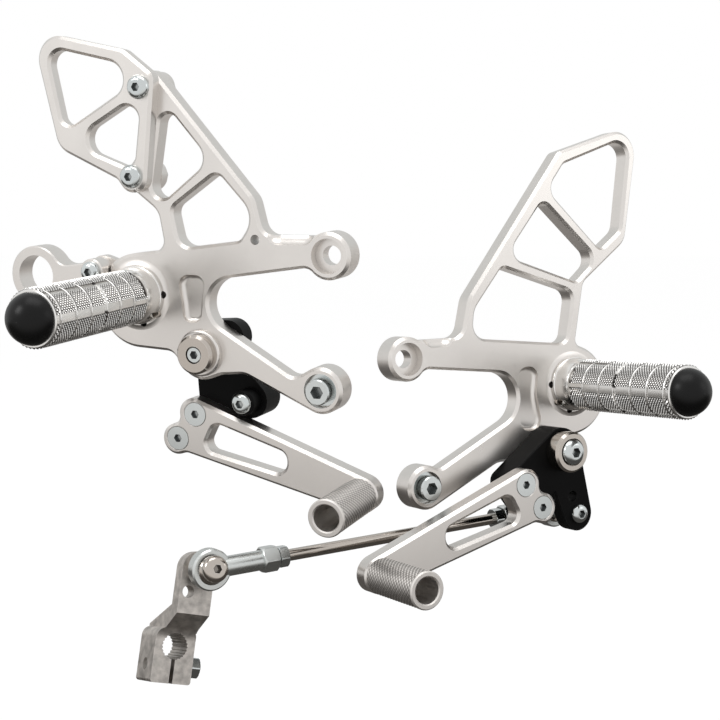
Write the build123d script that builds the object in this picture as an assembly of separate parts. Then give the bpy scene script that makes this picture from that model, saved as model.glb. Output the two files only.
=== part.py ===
from build123d import *
import os
from math import cos, radians, sin, sqrt, tan

# A pair of adjustable-style rear sets: a brake half and a shift half, each a milled plate with
# a foot peg and a toe lever, and the shift half's rod and spindle clamp. Sizes in millimetres.
# Each half is drawn in its own plate frame: x to the right and y up along the plate's front
# face, z out of it, with the upper frame bolt at the origin. Both halves are then stood in one
# frame, x right, y back, z up, whose origin is the brake half's upper frame bolt, at the floor
# of its counterbore.

# Stance of the two halves: turn about the upright axis, then lean of the face, in degrees.
brake_turn = 22.3
brake_lean = -2.9
shift_turn = -30.4
shift_lean = 4.2
shift_from_brake = (41.0, 45.6, -55.3)

# Fits.
run_fit = 0.03
screw_fit = 0.05
side_play = 0.3

# Plates.
plate_thick = 9.5
edge_chamfer = 1.5
guard_thick = 6.8
boss_radius = 11.7
boss_thick = 12.5
boss_bore = 9.6
counterbore = 17.3
counterbore_depth = 5.5
arm_top = 9.4
arm_top_angle = 65.0
arm_below = 5.8
cove_radius = 6.5
cove_above = 11.5
cove_ahead = 1.0
neck_radius = 6.0
throat_radius = 13.8
pocket_depth = 3.0
pocket_floor = 2.4
pivot_radius = 14.0
shift_pivot_radius = 12.5
pivot_boss_height = 3.0
rim_radius = 24.5
side_bore = 5.0
guard_boss = 5.5
guard_boss_radius = 8.0

# Places on the brake plate, and on the shift plate.
brake_lower = (-5.6, -66.2)
brake_pivot = (-71.0, -50.0)
brake_peg = (-106.0, -21.5)
guard_top = (-96.2, 82.5)
guard_low = (-102.7, 38.8)
side_bore_at = (-38.5, 7.5)
hanger_at = (-129.3, -9.4)
hanger_ring_at = (-163.3, -12.0)
brake_cove = (-26.0, -13.0)
shift_lower = (9.0, -68.2)
shift_pivot = (86.0, -54.5)
shift_peg = (107.0, -20.2)
shift_cove = (15.5, 22.5)

# Foot pegs.
seat_height = 0.8
seat_radius = 15.6
seat_base = 19.0
seat_root = 0.05
peg_flange = 14.9
peg_flange_edge = 2.5
peg_flange_length = 12.4
peg_radius = 14.2
peg_length = 91.0
peg_floor = 14.0
peg_bore = 14.0
peg_rim = 4.0
groove_depth = 0.8
groove_width = 1.5
groove_rows = 6
groove_ribs = 6
cap_plug = 20.0
cap_plug_length = 7.0
cap_dome = 11.0
cap_edge = 1.9
dowel = 4.0
dowel_depth = 5.0
dowel_inset = 0.4
dowel_angles = (2.0, -40.0, -80.0)

# Toe levers, in a frame with the toe peg at the origin and the lever running to +x.
lever_thick = 9.0
lever_end = 9.4
lever_upper_lobe = (91.7, 35.3)
lever_lower_lobe = (101.8, 21.6)
lever_upper_screw = (90.3, 35.4)
lever_lower_screw = (100.9, 22.2)
lever_lobe = 8.2
brake_toe = (13.8, -117.8)
shift_toe = (-35.8, -104.2)
toe_radius = 9.3
toe_length = 41.0
toe_bore = 13.0
toe_floor = 8.0

# Cranks.
brake_crank_thick = 9.5
shift_crank_thick = 15.8
brake_hub = 15.0
crank_lobe_at = (-60.5, -43.2)
crank_lobe = 8.9
shift_hub = 12.5
crank_leg = 8.6
clevis_at = (-49.0, -75.0)
clevis_lobe = 9.5
clevis_bush_length = 6.7
rod_at = (96.0, -90.0)
rod_lobe = 9.5
rod_lug = 8.0
rod_gap = 2.0
rod_spacer = 5.0
crank_hole_at = (92.4, -80.0)

# Pivots: a bush in each crank, running on a steel pin or sleeve.
pin_bore = 12.0
bush_wall = 2.0
pin_head = 20.0
pin_head_height = 5.0
collar = 22.0
collar_height = 9.0
collar_recess = 1.5

# Hanger ring.
hanger_thick = 11.5
hanger_outer = 15.3
hanger_inner = 10.5
hanger_boss = 6.6
hanger_arm = 4.6
hanger_fillet = 8.0
hanger_seat = -4.5

# Shift rod, rod ends and spindle clamp.
rod_radius = 3.0
rod_span = 210.0
rod_slope = 1.4
rod_thread = 17.0
eye_radius = 10.2
eye_width = 6.8
eye_to_end = 35.8
eye_neck = 5.0
eye_hex = 12.0
eye_hex_length = 8.5
eye_hex_chamfer = 1.0
ball_radius = 8.0
ball_width = 10.0
jam_nut = 10.0
jam_nut_height = 5.0
jam_nut_gap = 0.8
clamp_roll = -15.0
clamp_tilt = 10.0
clamp_arm_width = 17.0
clamp_arm_thick = 8.0
clamp_arm_x = -2.2
clamp_stand_off = 3.0
clamp_block_width = 21.0
clamp_block_depth = 20.0
clamp_block_x = -3.6
clamp_step = 14.5
clamp_arm_foot = -22.0
clamp_block_top = -31.0
clamp_block_foot = -56.0
clamp_cove = 8.0
clamp_shoulder = 5.0
spindle_bore = 12.6
spindle_at = (-3.6, -38.0)
spline_teeth = 24
spline_depth = 0.4
clamp_slit = 2.0
pinch_below = 9.6
pinch_head = 6.5
clamp_neck = 5.0
clamp_screw_rise = 1.0

# Screws: shank radius, head radius, head height and key width.
screw_m5 = (2.5, 4.25, 5.0, 4.0)
screw_m6 = (3.0, 5.25, 3.3, 4.0)
screw_m6_wide = (3.0, 5.9, 3.5, 4.0)
screw_m8 = (4.0, 6.5, 8.0, 6.0)
screw_m8_dome = (4.0, 7.1, 4.4, 5.0)
lever_screw_head = 6.0
lever_screw_land = 0.45
nut_m5 = 8.0
nut_m6 = 10.0
nut_height = 5.0
washer_radius = 8.2
washer_thick = 1.6
mount_screw_free = 7.4
mount_thread = 3.6


def boss(centre, radius, start, stop, count):
    """Corners whose arcs follow a circle from the angle start to the angle stop."""
    step = (stop - start) / count
    reach = radius / cos(radians(step / 2))
    corners = []
    for place in range(count):
        angle = radians(start + step * (place + 0.5))
        corners.append((centre[0] + reach * cos(angle), centre[1] + reach * sin(angle), radius))
    return corners


def tangent(centre, radius, angle, reach, corner):
    """A corner on a circle's tangent at an angle, that far from where they touch."""
    across = cos(radians(angle))
    along = sin(radians(angle))
    return (centre[0] + radius * across - reach * along, centre[1] + radius * along + reach * across, corner)


def rounded(corners):
    """A face from corners (x, y, radius), each rounded by an arc tangent to its two sides.

    A radius that its two sides have no room for is made smaller.
    """
    points = [Vector(x, y) for x, y, radius in corners]
    count = len(points)
    backs = [(points[index - 1] - points[index]).normalized() for index in range(count)]
    halves = [radians(backs[index].get_angle(-backs[(index + 1) % count])) / 2 for index in range(count)]
    reaches = [corner[2] / tan(half) for corner, half in zip(corners, halves)]
    room = []
    for index in range(count):
        side = (points[index] - points[index - 1]).length
        room.append(min(1, side / (reaches[index] + reaches[index - 1])))
    arcs = []
    for index, here in enumerate(points):
        back = backs[index]
        ahead = -backs[(index + 1) % count]
        reach = reaches[index] * min(room[index], room[(index + 1) % count])
        radius = reach * tan(halves[index])
        middle = here + (back + ahead).normalized() * (radius / sin(halves[index]) - radius)
        arcs.append(ThreePointArc(here + back * reach, middle, here + ahead * reach))
    edges = []
    for index, arc in enumerate(arcs):
        edges.append(arc)
        start = arc @ 1
        stop = arcs[(index + 1) % count] @ 0
        if (stop - start).length > 0.001:
            edges.append(Line(start, stop))
    return Face(Wire(edges))


def slab(outline, windows, thick):
    """A milled plate whose front face is z = 0, with a chamfer on every front edge."""
    face = rounded(outline)
    for window in windows:
        face = face - rounded(window)
    body = extrude(face, amount=thick, dir=(0, 0, -1))
    return chamfer(body.edges().filter_by_position(Axis.Z, -0.001, 0.001), edge_chamfer)


def pin(place, low, high, radius):
    """A cylinder along z."""
    return Pos(place[0], place[1], (low + high) / 2) * Cylinder(radius, high - low)


def link(circles, low, high):
    """The flat link that a belt round some circles (x, y, radius) encloses."""
    edges = []
    for x, y, radius in circles:
        edges += (Pos(x, y) * Circle(radius)).edges()
    return Pos(0, 0, low) * extrude(make_hull(edges), amount=high - low, dir=(0, 0, 1))


def key_socket(top, depth, key):
    """The hexagon cut for a key."""
    return Pos(0, 0, top - depth) * extrude(RegularPolygon(key / 2, 6, major_radius=False), depth + 1)


def button_screw(screw, length):
    """A domed screw: its head stands on z = 0 and its shank runs down."""
    shank, head, height, key = screw
    dome = Pos(0, 0, height / 2) * Cylinder(head, height)
    dome = fillet(dome.edges().sort_by(Axis.Z)[-1], height * 0.8)
    body = dome + pin((0, 0), -length, 0, shank)
    return body - key_socket(height, height * 0.6, key)


def cap_screw(screw, length):
    """A socket cap screw, placed as a domed screw is."""
    shank, head, height, key = screw
    cylinder = Pos(0, 0, height / 2) * Cylinder(head, height)
    cylinder = chamfer(cylinder.edges().sort_by(Axis.Z)[-1], 0.6)
    body = cylinder + pin((0, 0), -length, 0, shank)
    return body - key_socket(height, height * 0.55, key)


def flush_screw(shank, head, key, length):
    """A countersunk screw with its flat head at z = 0."""
    height = head - shank
    body = Pos(0, 0, -lever_screw_land - height / 2) * Cone(shank, head, height)
    body += pin((0, 0), -lever_screw_land, 0, head) + pin((0, 0), -length, -lever_screw_land - height, shank)
    return body - key_socket(0, height * 0.7, key)


def hex_nut(flats, height, hole):
    """A nut with its lower face at z = 0."""
    body = extrude(RegularPolygon(flats / 2, 6, major_radius=False), height)
    crown = Cylinder(flats * 0.56, height, align=(Align.CENTER, Align.CENTER, Align.MIN))
    crown = chamfer(crown.edges().filter_by(GeomType.CIRCLE), 0.5)
    return (body & crown) - pin((0, 0), -1, height + 1, hole)


def round_about(centre, radius, angle):
    """The point on a circle."""
    return (centre[0] + radius * cos(radians(angle)), centre[1] + radius * sin(radians(angle)))


def facing(turn, lean):
    """The way a half's face looks."""
    level = cos(radians(lean))
    return Vector(-sin(radians(turn)) * level, -cos(radians(turn)) * level, sin(radians(lean)))


def stand(turn, lean, origin):
    """Where a half's plate frame lies in the part's frame."""
    right = Vector(cos(radians(turn)), -sin(radians(turn)), 0)
    return Plane(origin=origin, x_dir=right, z_dir=facing(turn, lean)).location


def drill_mounts(body, lower):
    """The bosses and holes of both frame bolts."""
    body += pin((0, 0), -boss_thick, -plate_thick, boss_radius)
    body += pin(lower, -boss_thick, -plate_thick, boss_radius)
    for place in ((0, 0), lower):
        body -= pin(place, -counterbore_depth, 1, counterbore / 2)
    body -= pin((0, 0), -boss_thick - 1, 1, boss_bore / 2)
    return body - pin(lower, -boss_thick - 1, 1, screw_m8[0] + screw_fit)


def cut_cove(body, ends):
    """The ball-ended cove along the top edge of an upper arm."""
    for place in ends:
        body -= Pos(place, cove_above, cove_ahead) * Sphere(cove_radius)
    middle = Pos((ends[0] + ends[1]) / 2, cove_above, cove_ahead)
    return body - middle * Rot(0, 90, 0) * Cylinder(cove_radius, ends[1] - ends[0])


def add_seat(body, peg, mirrored):
    """The swelling that carries a foot peg, its bolt hole and its locating holes."""
    curve = TangentArc((seat_base, -seat_root), (seat_radius, seat_height), tangent=(-1, 0))
    profile = Wire([Line((0, -1), (seat_base, -1)), Line((seat_base, -1), (seat_base, -seat_root)), curve,
                    Line((seat_radius, seat_height), (0, seat_height)), Line((0, seat_height), (0, -1))])
    seat = revolve(Plane.XZ * Face(profile), Axis.Z)
    body += Pos(peg[0], peg[1], 0) * seat
    body -= pin(peg, -plate_thick - 1, seat_height + 1, screw_m8[0] + screw_fit)
    for angle in dowel_angles:
        place = round_about(peg, peg_flange - dowel_inset, mirrored - angle if mirrored else angle)
        body -= pin(place, seat_height - dowel_depth, seat_height + 1, dowel / 2)
    return body


def pocket(body, corners):
    """A shallow milled pocket with a rounded floor."""
    cut = extrude(rounded(corners), amount=pocket_depth, dir=(0, 0, -1))
    cut = fillet(cut.edges().filter_by_position(Axis.Z, -pocket_depth - 0.01, -pocket_depth + 0.01), pocket_floor)
    return body - cut


def foot_peg():
    """A peg with its flange on z = 0, knurl bands cut by ring and long grooves, and an end cap."""
    end = peg_length
    taper = peg_flange_length - peg_flange_edge
    flange = pin((0, 0), 0, peg_flange_edge, peg_flange)
    flange += Pos(0, 0, peg_flange_edge + taper / 2) * Cone(peg_flange - 0.3, peg_radius, taper)
    body = flange + pin((0, 0), peg_flange_length, end, peg_radius)
    band = (end - peg_rim - peg_flange_length) / groove_rows
    for row in range(groove_rows + 1):
        middle = peg_flange_length + band * row
        ring = pin((0, 0), middle - groove_width / 2, middle + groove_width / 2, peg_radius + 1)
        body -= ring - pin((0, 0), middle - groove_width, middle + groove_width, peg_radius - groove_depth)
    for rib in range(groove_ribs):
        slot = Box(2 * groove_depth, groove_width, end - peg_rim - peg_flange_length)
        slot = Pos(peg_radius, 0, (end - peg_rim + peg_flange_length) / 2) * slot
        body -= Rot(0, 0, 360 / groove_ribs * rib) * slot
    body -= pin((0, 0), -1, end + 1, screw_m8[0] + 2 * screw_fit)
    body -= pin((0, 0), peg_floor, end + 1, peg_bore / 2)
    body -= pin((0, 0), end - cap_plug_length - 1, end + 1, cap_plug / 2)
    end_edges = body.edges().filter_by_position(Axis.Z, end - 0.001, end + 0.001)
    return chamfer(end_edges.sort_by(SortBy.RADIUS)[-1], 0.5)


def peg_cap():
    """The black end cap: a plug and a dome."""
    edge = peg_radius - cap_edge
    curve = (edge ** 2 + cap_dome ** 2) / (2 * cap_dome)
    body = Pos(0, 0, cap_dome - curve) * Sphere(curve) & pin((0, 0), 0, cap_dome + 1, edge + 1)
    return body + pin((0, 0), -cap_plug_length, 0, cap_plug / 2 - screw_fit)


def peg_set(peg, mirrored):
    """A foot peg with its cap, bolt and dowel, on its seat."""
    here = Pos(peg[0], peg[1], seat_height)
    dowel_at = round_about(peg, peg_flange - dowel_inset, mirrored - dowel_angles[1] if mirrored else dowel_angles[1])
    body = here * foot_peg() - pin(dowel_at, seat_height - 1, seat_height + 4, dowel / 2 + screw_fit)
    bolt = here * Pos(0, 0, peg_floor) * cap_screw(screw_m8, peg_floor + seat_height + plate_thick)
    key = pin(dowel_at, seat_height - dowel_depth, seat_height + 2.2, dowel / 2 - screw_fit)
    return body, here * Pos(0, 0, peg_length) * peg_cap(), bolt, key


def lever_outline():
    """The toe lever: a wedge from the toe peg to two screw lobes."""
    upper, lower = lever_upper_lobe, lever_lower_lobe
    corners = boss((0, 0), lever_end, 110.4, 283.7, 2)
    corners.append((lower[0] - lever_lobe * 0.66, lower[1] - lever_lobe * 0.83, 5.0))
    corners += boss(lower, lever_lobe, -105.0, 75.0, 3)
    corners.append((upper[0] + lever_lobe * 0.93, upper[1] - lever_lobe * 0.58, 4.4))
    corners += boss(upper, lever_lobe, -5.0, 110.4, 2)
    return corners


lever_window = [(39.3, 6.7, 5.5), (39.3, 18.5, 5.5), (79.5, 31.5, 5.0), (87.0, 17.1, 5.0)]


def toe_lever():
    """A lever with its front at z = 0, drilled for its two flush screws and the toe peg's screw."""
    body = slab(lever_outline(), [lever_window], lever_thick)
    for place in (lever_upper_screw, lever_lower_screw):
        body -= pin(place, -lever_thick - 1, 1, screw_m6[0] + screw_fit)
        height = lever_screw_head + lever_screw_land - screw_m6[0]
        body -= Pos(place[0], place[1], -height / 2) * Cone(
            screw_m6[0] + screw_fit, lever_screw_head + lever_screw_land + screw_fit, height)
    body -= pin((0, 0), -lever_thick - 1, 1, screw_m6[0] + screw_fit)
    recess = -lever_thick + screw_m6[2] + screw_fit
    return body - pin((0, 0), -lever_thick - 1, recess, screw_m6[1] + screw_fit)


def lever_set(mirrored, toe, back, crank_thick):
    """A lever on the face z = back, with its screws, toe peg and toe peg screw."""
    front = back + lever_thick
    here = Pos(toe[0], toe[1], front)
    body = toe_lever()
    peg = pin((0, 0), 0, toe_length, toe_radius) - pin((0, 0), toe_floor, toe_length + 1, toe_bore / 2)
    rims = peg.edges().filter_by_position(Axis.Z, toe_length - 0.001, toe_length + 0.001)
    peg = chamfer(rims, 0.6) - pin((0, 0), -1, toe_floor + 1, screw_m6[0] + screw_fit)
    toe_screw = Pos(0, 0, -lever_thick + screw_m6[2]) * Rot(180, 0, 0) * button_screw(
        screw_m6, lever_thick - screw_m6[2] + toe_floor)
    screws = []
    for place in (lever_upper_screw, lever_lower_screw):
        one = flush_screw(screw_m6[0], lever_screw_head, screw_m6[3], lever_thick + crank_thick * 0.7)
        screws.append(Pos(place[0], place[1], 0) * one)
    pieces = [body, peg, toe_screw] + screws
    if mirrored:
        pieces = [mirror(piece, about=Plane.YZ) for piece in pieces]
    pieces = [here * piece for piece in pieces]
    return pieces[0], pieces[1], pieces[2], pieces[3:]


def lever_place(mirrored, toe, place):
    """A lever's screw place on its plate."""
    return (toe[0] - place[0] if mirrored else toe[0] + place[0], toe[1] + place[1])


# Brake plate: clockwise from the upper guard screw, round the truss, the two arms and the peg.
root2 = sqrt(2)
neck = boss_radius * root2
top_reach = (boss_radius * sin(radians(arm_top_angle)) - arm_top) / cos(radians(arm_top_angle))
brake_outline = boss(guard_top, 8.4, 200, 40.4, 2)
brake_outline += [(-38.6, 27.6, 10.0), (-34.2, arm_top, 8.0)]
brake_outline += [tangent((0, 0), boss_radius, 180 - arm_top_angle, top_reach, neck_radius)]
brake_outline += boss((0, 0), boss_radius, 180 - arm_top_angle, -135, 3)
brake_outline += [(arm_below - neck, -arm_below, neck_radius), (-93.0, -17.0, throat_radius)]
brake_outline += [tangent(brake_lower, boss_radius, 120, 9.7, 7.0)]
brake_outline += boss(brake_lower, boss_radius, 120, -115, 3)
brake_outline += [tangent(brake_lower, boss_radius, -115, -40.0, 10.0), (-60.0, -60.9, 10.0)]
brake_outline += boss(brake_pivot, pivot_radius, -70, -145, 1)
brake_outline += [(-88.0, -50.1, 7.0)]
brake_outline += boss((brake_peg[0], brake_peg[1] - 3.0), rim_radius, -93.5, -263, 2)
brake_outline += [(-89.8, 1.7, 5.5), (-93.0, 21.3, 10.0)]
brake_outline += boss(guard_low, 8.0, -128, -215, 1)
brake_outline += [(-103.0, 50.0, 5.0), (-100.0, 70.0, 5.0)]
brake_windows = [
    [(-87.8, 75.7, 5.3), (-62.7, 46.3, 8.5), (-99.0, 19.0, 6.3)],
    [(-58.5, 40.5, 5.0), (-38.7, 18.8, 11.8), (-47.4, 6.1 + 0.6, 5.0), (-81.0, 2.6, 7.5), (-85.1, 22.6, 6.0)],
]
brake_pocket = [(-83.0, -10.5, 5.5), (-66.4, -10.5, 5.5), (-68.8, -24.0, 20.0), (-70.2, -34.8, 4.5),
                (-80.4, -34.8, 4.5), (-81.2, -24.0, 20.0)]
brake_plate = slab(brake_outline, brake_windows, plate_thick)
brake_plate += link([(hanger_at[0], hanger_at[1], hanger_boss + 0.8),
                     (brake_peg[0] - 10.0, brake_peg[1] + 6.0, 9.0)], -plate_thick, hanger_seat)
for place in (guard_top, guard_low):
    brake_plate += pin(place, -plate_thick - guard_boss, -plate_thick, guard_boss_radius)
brake_plate = cut_cove(drill_mounts(brake_plate, brake_lower), brake_cove)
brake_plate -= pin(side_bore_at, -plate_thick - 1, 1, side_bore / 2)
brake_plate = add_seat(brake_plate, brake_peg, 0)
brake_plate = pocket(brake_plate, brake_pocket)
pivot_boss = pin(brake_pivot, -1, pivot_boss_height, pivot_radius - edge_chamfer - 0.6)
pivot_boss = fillet(pivot_boss.edges().sort_by(Axis.Z)[-1], 1.2)
brake_plate += pivot_boss
brake_plate -= pin(brake_pivot, -plate_thick - 1, pivot_boss_height + 1, pin_bore / 2)
for place in (guard_top, guard_low):
    brake_plate -= pin(place, -plate_thick - guard_boss - 1, 1, screw_m6[0] + screw_fit)
brake_plate -= pin(hanger_at, hanger_seat, seat_height + 1, hanger_boss + 0.9)
brake_plate -= pin(hanger_at, -plate_thick - 1, 1, screw_m6[0] + screw_fit)

# Heel guard of the brake half, screwed on the front of the truss.
guard_outline = [(-158.7, 112.9, 12.0), (-104.7, 100.9, 9.0), (-88.3, 88.1, 5.5)]
guard_outline += boss(guard_low, 8.0, -7.4, -145, 2)
guard_outline += [(-111.8, 37.6, 5.0), (-145.6, 53.3, 12.0)]
guard_windows = [
    [(-149.8, 104.1, 7.0), (-90.0, 90.2, 9.0), (-141.6, 61.7, 5.7)],
    [(-95.9, 79.0, 6.5), (-101.8, 41.9, 5.6), (-138.5, 56.0, 8.0)],
]
brake_guard = Pos(0, 0, guard_thick) * slab(guard_outline, guard_windows, guard_thick)
guard_screws = []
guard_nuts = []
for place in (guard_top, guard_low):
    here = Pos(place[0], place[1], 0)
    brake_guard -= pin(place, -1, guard_thick + 1, screw_m6[0] + screw_fit)
    length = guard_thick + plate_thick + guard_boss + nut_height + 1
    guard_screws.append(here * Pos(0, 0, guard_thick) * button_screw(screw_m6_wide, length))
    guard_nuts.append(here * Pos(0, 0, -plate_thick - guard_boss - nut_height) * hex_nut(
        nut_m6, nut_height, screw_m6[0] + screw_fit))

# Brake pedal: a crank behind the plate, on a bush that runs on the pivot pin, and its lever.
crank_front = -plate_thick - side_play
crank_back = crank_front - brake_crank_thick
pedal_upper = lever_place(True, brake_toe, lever_upper_screw)
pedal_lower = lever_place(True, brake_toe, lever_lower_screw)
bush_radius = pin_bore / 2 + bush_wall
brake_crank = link([(brake_pivot[0], brake_pivot[1], brake_hub),
                    (crank_lobe_at[0], crank_lobe_at[1], crank_lobe)], crank_back, crank_front)
brake_crank += link([(brake_pivot[0], brake_pivot[1], crank_leg), (pedal_upper[0] + 5.5, pedal_upper[1], 7.0),
                     (clevis_at[0], clevis_at[1], clevis_lobe)], crank_back, crank_front)
brake_crank += link([(pedal_upper[0], pedal_upper[1], 7.2), (pedal_lower[0], pedal_lower[1], 7.2)],
                    crank_back, crank_front)
brake_crank -= pin(brake_pivot, crank_back - 1, crank_front + 1, bush_radius)
for place in (pedal_upper, pedal_lower, clevis_at):
    brake_crank -= pin(place, crank_back - 1, crank_front + 1, screw_m6[0] + screw_fit)
brake_bush = pin(brake_pivot, crank_back, crank_front, bush_radius)
brake_bush -= pin(brake_pivot, crank_back - 1, crank_front + 1, pin_bore / 2 + run_fit)
brake_lever, brake_toe_peg, brake_toe_screw, brake_lever_screws = lever_set(
    True, brake_toe, crank_front, brake_crank_thick)

pin_end = crank_back - side_play
pin_top = pivot_boss_height + pin_head_height
brake_pin = pin(brake_pivot, pivot_boss_height, pin_top, pin_head / 2)
brake_pin = chamfer(brake_pin.edges().sort_by(Axis.Z)[-1], 1.2)
brake_pin += pin(brake_pivot, pin_end, pivot_boss_height, pin_bore / 2)
brake_pin -= pin(brake_pivot, pin_end - 1, pin_top + 1, screw_m5[0] + screw_fit)
brake_pin -= pin(brake_pivot, pin_top - screw_m5[2] - 0.4, pin_top + 1, screw_m5[1] + 0.2)
at_pivot = Pos(brake_pivot[0], brake_pivot[1], 0)
pin_seat = pin_top - screw_m5[2] - 0.4
brake_pin_screw = at_pivot * Pos(0, 0, pin_seat) * cap_screw(
    screw_m5, pin_seat - pin_end + washer_thick + nut_height)
brake_pin_washer = pin(brake_pivot, pin_end - washer_thick, pin_end, bush_radius + 1.5)
brake_pin_washer -= pin(brake_pivot, pin_end - washer_thick - 1, pin_end + 1, screw_m5[0] + screw_fit)
brake_pin_nut = at_pivot * Pos(0, 0, pin_end - washer_thick - nut_height) * hex_nut(
    nut_m5, nut_height, screw_m5[0] + screw_fit)

# The clevis end of the brake crank: a spacer in front, a bush behind, and one screw through both.
clevis_front = crank_front + lever_thick
clevis_end = crank_back - clevis_bush_length
clevis_spacer = pin(clevis_at, crank_front, clevis_front, 6.5)
clevis_spacer = chamfer(clevis_spacer.edges().sort_by(Axis.Z)[-1], 0.6)
clevis_spacer -= pin(clevis_at, crank_front - 1, clevis_front + 1, screw_m6[0] + screw_fit)
clevis_bush = pin(clevis_at, clevis_end, crank_back, clevis_lobe)
clevis_bush = chamfer(clevis_bush.edges().sort_by(Axis.Z)[0], 0.8)
clevis_bush -= pin(clevis_at, clevis_end - 1, crank_back + 1, screw_m6[0] + screw_fit)
at_clevis = Pos(clevis_at[0], clevis_at[1], 0)
clevis_screw = at_clevis * Pos(0, 0, clevis_front) * button_screw(
    screw_m6, clevis_front - clevis_end + nut_height)
clevis_nut = at_clevis * Pos(0, 0, clevis_end - nut_height) * hex_nut(
    nut_m6, nut_height, screw_m6[0] + screw_fit)

# Hanger ring on the tab beside the brake half's foot peg.
hanger_front = hanger_seat + hanger_thick
hanger = pin(hanger_ring_at, hanger_seat, hanger_front, hanger_outer)
hanger += link([(hanger_ring_at[0] + hanger_inner, hanger_ring_at[1], hanger_arm),
                (hanger_at[0], hanger_at[1], hanger_arm)], hanger_seat, hanger_front)
roots = hanger.edges().filter_by(Axis.Z).sort_by_distance((hanger_ring_at[0], hanger_ring_at[1], 0))
hanger = fillet(roots[:2], hanger_fillet)
hanger += pin(hanger_at, hanger_seat, hanger_front, hanger_boss)
hanger = chamfer(hanger.edges().filter_by_position(Axis.Z, hanger_front - 0.001, hanger_front + 0.001), 0.6)
hanger -= pin(hanger_ring_at, hanger_seat - 1, hanger_front + 1, hanger_inner)
hanger -= pin(hanger_at, hanger_seat - 1, hanger_front + 1, screw_m6[0] + screw_fit)
hanger_screw = Pos(hanger_at[0], hanger_at[1], hanger_front) * button_screw(
    screw_m6, hanger_thick + plate_thick + hanger_seat)


def lower_mount(place):
    """The frame screw and washer of a plate's lower boss; the screw's end stands free behind it."""
    here = Pos(place[0], place[1], -counterbore_depth)
    washer = pin((0, 0), 0, washer_thick, washer_radius)
    washer = here * (washer - pin((0, 0), -1, washer_thick + 1, screw_m8[0] + screw_fit))
    grip = washer_thick + boss_thick - counterbore_depth
    screw = cap_screw(screw_m8, grip) + pin((0, 0), -grip - mount_screw_free, -grip, mount_thread)
    return here * Pos(0, 0, washer_thick) * screw, washer


# Shift plate, with its heel guard in one piece: clockwise from the upper arm's neck.
shift_rim = (shift_peg[0] + 0.4, shift_peg[1] - 3.5)
shift_outline = [(34.2, arm_top, 8.0), (39.4, 30.2, 12.0), (102.6, 108.5, 6.0), (162.0, 126.1, 13.0),
                 (149.3, 58.7, 12.0), (118.2, 36.2, 7.0), (111.0, 1.6, 4.0)]
shift_outline += boss(shift_rim, rim_radius + 0.5, 70, -80, 2)
shift_outline += [(100.0, -50.4, 4.0)]
shift_outline += boss(shift_pivot, shift_pivot_radius, -15, -115, 1)
shift_outline += [(66.5, -59.2, 10.0), tangent(shift_lower, boss_radius, -65, 45.4, 10.0)]
shift_outline += boss(shift_lower, boss_radius, -65, -300, 3)
shift_outline += [tangent(shift_lower, boss_radius, 60, -2.7, 5.0), (107.9, -16.0, throat_radius + 0.8)]
shift_outline += [(neck - arm_below, -arm_below, neck_radius)]
shift_outline += boss((0, 0), boss_radius, -45, arm_top_angle - 360, 3)
shift_outline += [tangent((0, 0), boss_radius, arm_top_angle, -top_reach, neck_radius)]
shift_windows = [
    [(154.2, 118.1, 8.0), (145.6, 64.7, 8.0), (130.9, 54.0, 4.0), (94.7, 87.7, 8.0), (106.3, 102.1, 5.0)],
    [(90.9, 81.9, 4.5), (127.8, 48.8, 7.0), (112.8, 36.5, 4.5), (65.5, 51.9, 7.0)],
    [(62.0, 46.1, 4.0), (110.4, 31.0, 7.0), (104.7, 2.4, 6.0), (41.2, 8.6, 8.0), (43.4, 24.3, 12.0)],
]
shift_pocket = [(68.8, -8.7, 6.0), (84.6, -8.7, 6.0), (82.2, -24.0, 16.0), (86.2, -44.0, 6.0),
                (69.8, -44.0, 6.0), (71.6, -24.0, 16.0)]
shift_plate = slab(shift_outline, shift_windows, plate_thick)
shift_plate = cut_cove(drill_mounts(shift_plate, shift_lower), shift_cove)
shift_plate = add_seat(shift_plate, shift_peg, 180)
shift_plate = pocket(shift_plate, shift_pocket)
shift_plate -= pin(shift_pivot, -plate_thick - 1, 1, screw_m8[0] + screw_fit)

# Shift lever: a deep crank in front of the plate, on a sleeve, and the lever on the crank's face.
shift_back = side_play
shift_front = shift_back + shift_crank_thick
sleeve_top = shift_front + side_play
collar_top = sleeve_top + collar_height
arm_upper = lever_place(False, shift_toe, lever_upper_screw)
arm_lower = lever_place(False, shift_toe, lever_lower_screw)
shift_crank = link([(shift_pivot[0], shift_pivot[1], shift_hub), (arm_upper[0], arm_upper[1], 5.5),
                    (arm_lower[0], arm_lower[1], 6.0)], shift_back, shift_front)
lug_back = shift_front - rod_lug
shift_crank += link([(shift_pivot[0], shift_pivot[1], shift_hub), (rod_at[0], rod_at[1], rod_lobe)],
                    lug_back, shift_front)
front_edges = shift_crank.edges().filter_by_position(Axis.Z, shift_front - 0.001, shift_front + 0.001)
shift_crank = chamfer(front_edges, 0.5)
shift_crank -= pin(shift_pivot, shift_back - 1, shift_front + 1, bush_radius)
for place in (arm_upper, arm_lower, rod_at, crank_hole_at):
    shift_crank -= pin(place, shift_back - 1, shift_front + 1, screw_m6[0] + screw_fit)
shift_bush = pin(shift_pivot, shift_back, shift_front, bush_radius)
shift_bush -= pin(shift_pivot, shift_back - 1, shift_front + 1, pin_bore / 2 + run_fit)
shift_sleeve = pin(shift_pivot, 0, sleeve_top, pin_bore / 2)
shift_sleeve -= pin(shift_pivot, -1, sleeve_top + 1, screw_m8[0] + screw_fit)
shift_collar = pin(shift_pivot, sleeve_top, collar_top, collar / 2)
shift_collar = chamfer(shift_collar.edges().sort_by(Axis.Z)[-1], 1.2)
shift_collar -= pin(shift_pivot, sleeve_top - 1, collar_top + 1, screw_m8[0] + screw_fit)
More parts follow.
